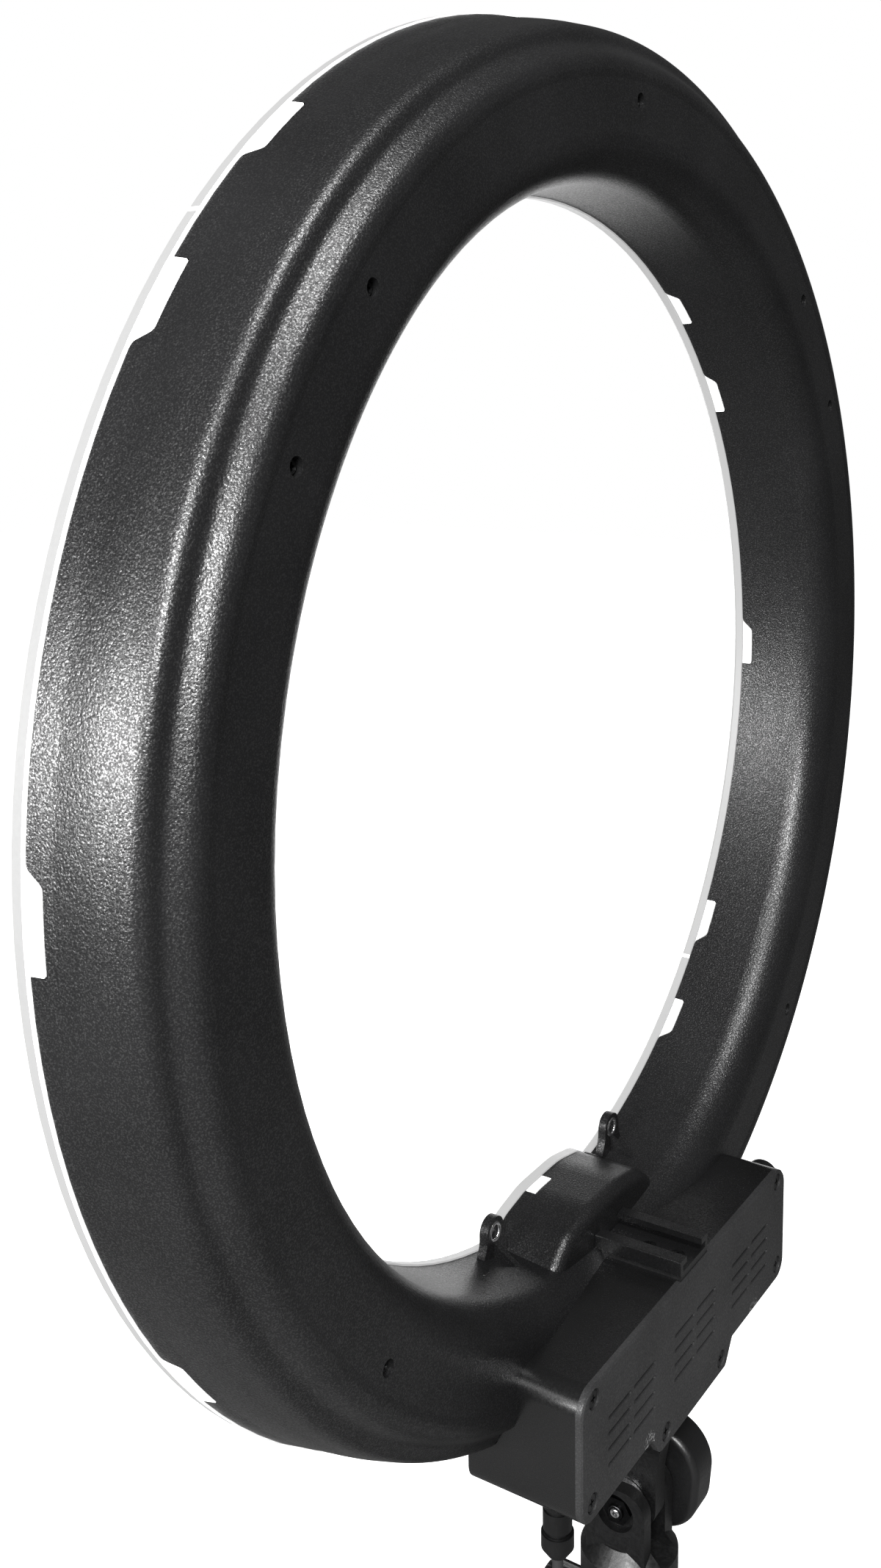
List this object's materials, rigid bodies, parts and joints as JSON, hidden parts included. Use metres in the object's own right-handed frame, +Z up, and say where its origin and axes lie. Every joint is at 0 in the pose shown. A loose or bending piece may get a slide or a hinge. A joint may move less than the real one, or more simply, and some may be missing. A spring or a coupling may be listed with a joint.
{
  "type": "led ring light",
  "caption": "Black ring light with a white diffuser, rear control box, cold shoe, tilt fork with a square clamp knob, stand socket and coiled low-voltage power cord",
  "frame": {"origin": "centre of the stand socket's mouth, where a stand's stud goes in", "axes": "+Z points up from the stand to the ring, -Y is the way that the light shines, +X is the side of the plug, across from the tilt knob"},
  "size_m": [0.4799, 0.0688, 0.7054],
  "materials": {
    "black_grained": "fine moulded grain, satin black",
    "black_smooth": "smooth black plastic, lightly glossy",
    "white_diffuser": "translucent white cover, satin",
    "black_metal": "black paint on cast metal, satin",
    "steel": "plain zinc-plated steel",
    "black_steel": "blackened steel screws",
    "aluminium_plate": "sheet aluminium",
    "board_white": "white solder mask",
    "board_green": "green solder mask",
    "chip_yellow": "phosphor-filled resin",
    "can_grey": "sleeved can",
    "copper": "enamelled copper winding",
    "cord_black": "soft black cord jacket"
  },
  "bodies": {
    "stand": {"stand_bracket": "black_metal", "tilt_bolt": "steel", "friction_washers": "steel", "knob_washer": "steel"},
    "head": {"back_housing": "black_grained", "diffuser_cover": "white_diffuser", "led_base_ring": "aluminium_plate", "led_board_1": "board_white", "led_board_2": "board_white", "led_board_3": "board_white", "led_board_4": "board_white", "led_chips": "chip_yellow", "housing_screws": "black_steel", "control_box": "black_grained", "control_box_cover": "black_grained", "cover_screws": "black_steel", "cold_shoe": "black_smooth", "shoe_screws": "black_steel", "driver_board": "board_green", "heat_sink": "aluminium_plate", "capacitors": "can_grey", "inductor": "copper", "led_wires": "cord_black", "dimmer_body": "steel", "switch_body": "black_smooth", "dc_jack": "black_smooth", "tilt_tongue": "black_metal", "tongue_pin": "steel", "dc_plug": "black_smooth", "power_cord_lead": "cord_black", "power_cord_coil": "cord_black", "power_cord_tail": "cord_black", "cable_tie": "black_smooth", "adapter_case": "black_smooth", "adapter_pins": "steel"},
    "clamp_knob": {"tilt_knob": "black_smooth", "knob_insert": "steel"},
    "stand_lock": {"lock_knob": "black_smooth", "lock_screw": "steel"},
    "dimmer": {"dimmer_knob": "black_smooth", "dimmer_shaft": "steel"},
    "rocker": {"power_rocker": "black_smooth"}
  },
  "joints": [
    {"name": "head_tilt", "type": "hinge", "parent": "stand", "child": "head", "pos_m": [-0.0012, 0, 0.089], "axis": [1, 0, 0], "range_deg": [-90, 90]},
    {"name": "tilt_knob_turn", "type": "hinge", "parent": "stand", "child": "clamp_knob", "pos_m": [-0.021, 0, 0.089], "axis": [1, 0, 0], "range_deg": [-180, 180]},
    {"name": "lock_knob_turn", "type": "hinge", "parent": "stand", "child": "stand_lock", "pos_m": [0, -0.0275, 0.0325], "axis": [0, 1, 0], "range_deg": [-180, 180]},
    {"name": "dimmer_turn", "type": "hinge", "parent": "head", "child": "dimmer", "pos_m": [-0.09, 0.0133, 0.1768], "axis": [1, 0, 0], "range_deg": [0, 270]},
    {"name": "rocker_tilt", "type": "hinge", "parent": "head", "child": "rocker", "pos_m": [-0.084, 0.0133, 0.1605], "axis": [0, 0, 1], "range_deg": [-14, 0]}
  ]
}
